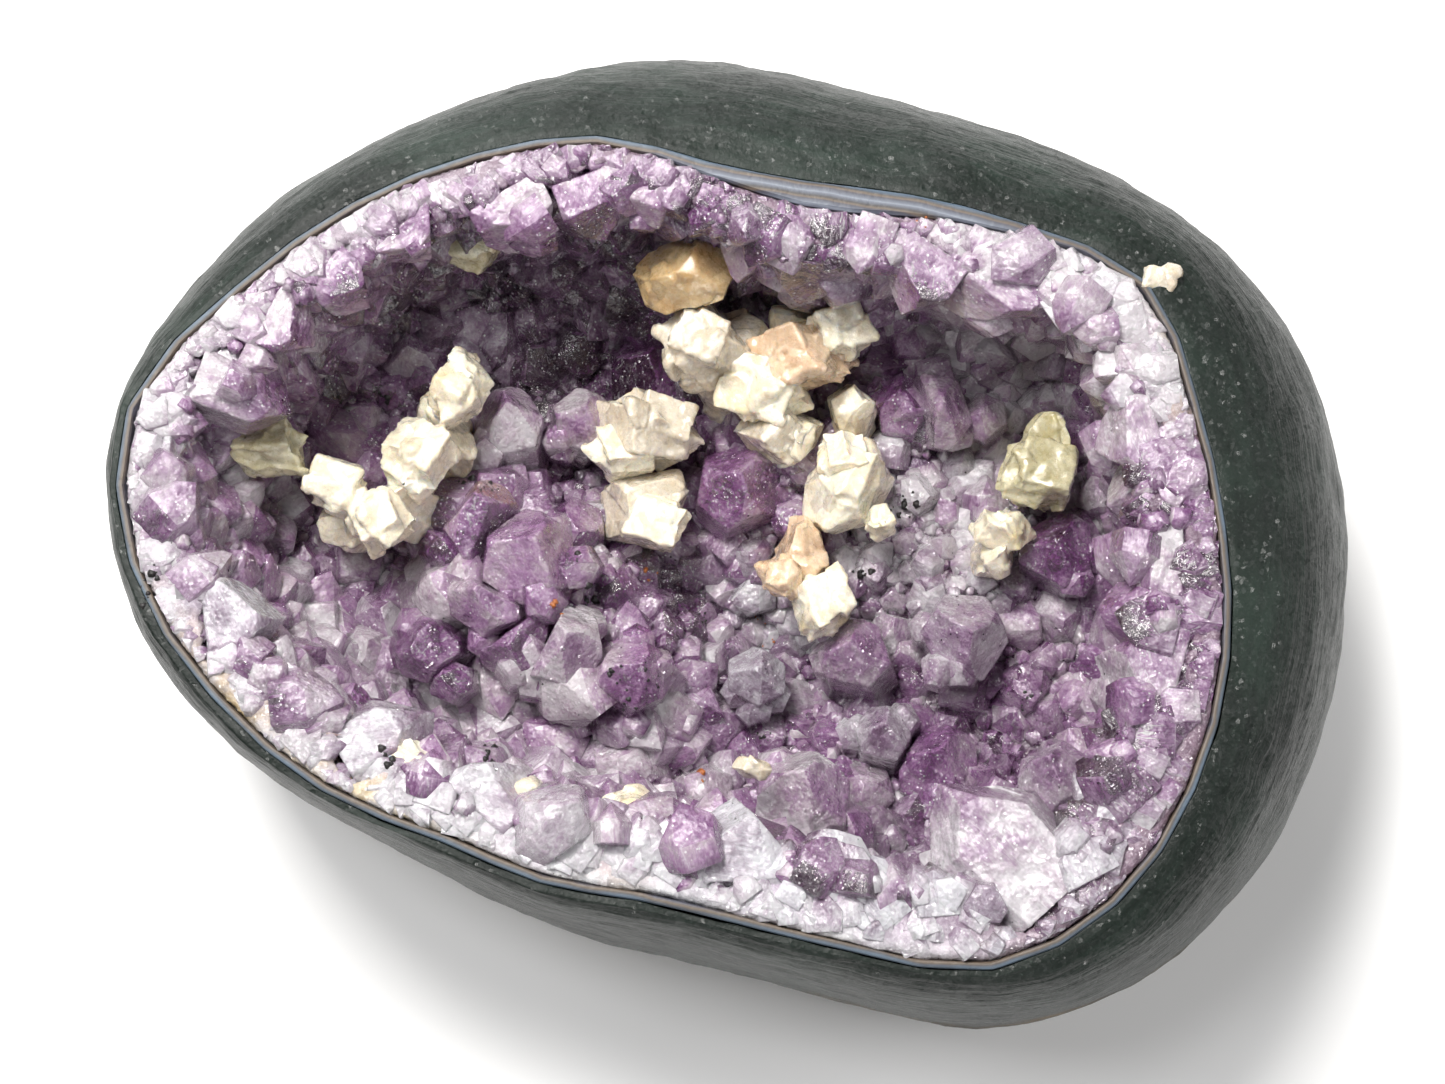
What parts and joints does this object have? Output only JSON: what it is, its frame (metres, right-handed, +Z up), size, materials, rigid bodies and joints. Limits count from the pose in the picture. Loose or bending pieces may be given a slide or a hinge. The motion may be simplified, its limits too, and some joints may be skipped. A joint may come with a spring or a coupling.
{
  "type": "geode half",
  "caption": "Half of an amethyst geode: rounded basalt skin, thin agate line and polished quartz rim round an open cavity of purple crystals and cream calcite.",
  "frame": {"origin": "middle of the stone's outline seen from above, on the surface that the ground foot stands on", "axes": "+X along the long axis towards the wide end, +Z up out of the cavity's mouth, square to the saw cut"},
  "size_m": [0.2516, 0.1854, 0.1],
  "materials": {
    "basalt": "satin, ground and sealed, fine striations",
    "agate": "polished, banded",
    "quartz": "polished on the cut, sugary inside",
    "amethyst": "glossy natural crystal faces",
    "calcite": "waxy, slightly rough"
  },
  "bodies": {
    "root": {"basalt_shell": "basalt", "agate_lining": "agate", "quartz_bed": "quartz", "rim_amethyst_01": "amethyst", "rim_amethyst_02": "amethyst", "rim_amethyst_03": "amethyst", "rim_amethyst_04": "amethyst", "rim_amethyst_05": "amethyst", "rim_amethyst_06": "amethyst", "rim_amethyst_07": "amethyst", "rim_amethyst_08": "amethyst", "rim_amethyst_09": "amethyst", "rim_amethyst_10": "amethyst", "rim_amethyst_11": "amethyst", "rim_amethyst_12": "amethyst", "rim_amethyst_13": "amethyst", "rim_amethyst_14": "amethyst", "rim_amethyst_15": "amethyst", "rim_amethyst_16": "amethyst", "rim_amethyst_17": "amethyst", "rim_amethyst_18": "amethyst", "rim_amethyst_19": "amethyst", "rim_amethyst_20": "amethyst", "rim_amethyst_21": "amethyst", "rim_amethyst_22": "amethyst", "cavity_amethyst_01": "amethyst", "cavity_amethyst_02": "amethyst", "cavity_amethyst_03": "amethyst", "cavity_amethyst_04": "amethyst", "cavity_amethyst_05": "amethyst", "cavity_amethyst_06": "amethyst", "cavity_amethyst_07": "amethyst", "cavity_amethyst_08": "amethyst", "cavity_amethyst_09": "amethyst", "cavity_amethyst_10": "amethyst", "cavity_amethyst_11": "amethyst", "cavity_amethyst_12": "amethyst", "cavity_amethyst_13": "amethyst", "cavity_amethyst_14": "amethyst", "cavity_amethyst_15": "amethyst", "cavity_amethyst_16": "amethyst", "cavity_amethyst_17": "amethyst", "cavity_amethyst_18": "amethyst", "cavity_amethyst_19": "amethyst", "cavity_amethyst_20": "amethyst", "cavity_amethyst_21": "amethyst", "calcite_01": "calcite", "calcite_02": "calcite", "calcite_03": "calcite", "calcite_04": "calcite", "calcite_05": "calcite", "calcite_06": "calcite", "calcite_07": "calcite", "calcite_08": "calcite", "calcite_09": "calcite", "calcite_10": "calcite", "calcite_11": "calcite", "calcite_12": "calcite", "calcite_13": "calcite", "calcite_14": "calcite"}
  },
  "joints": []
}
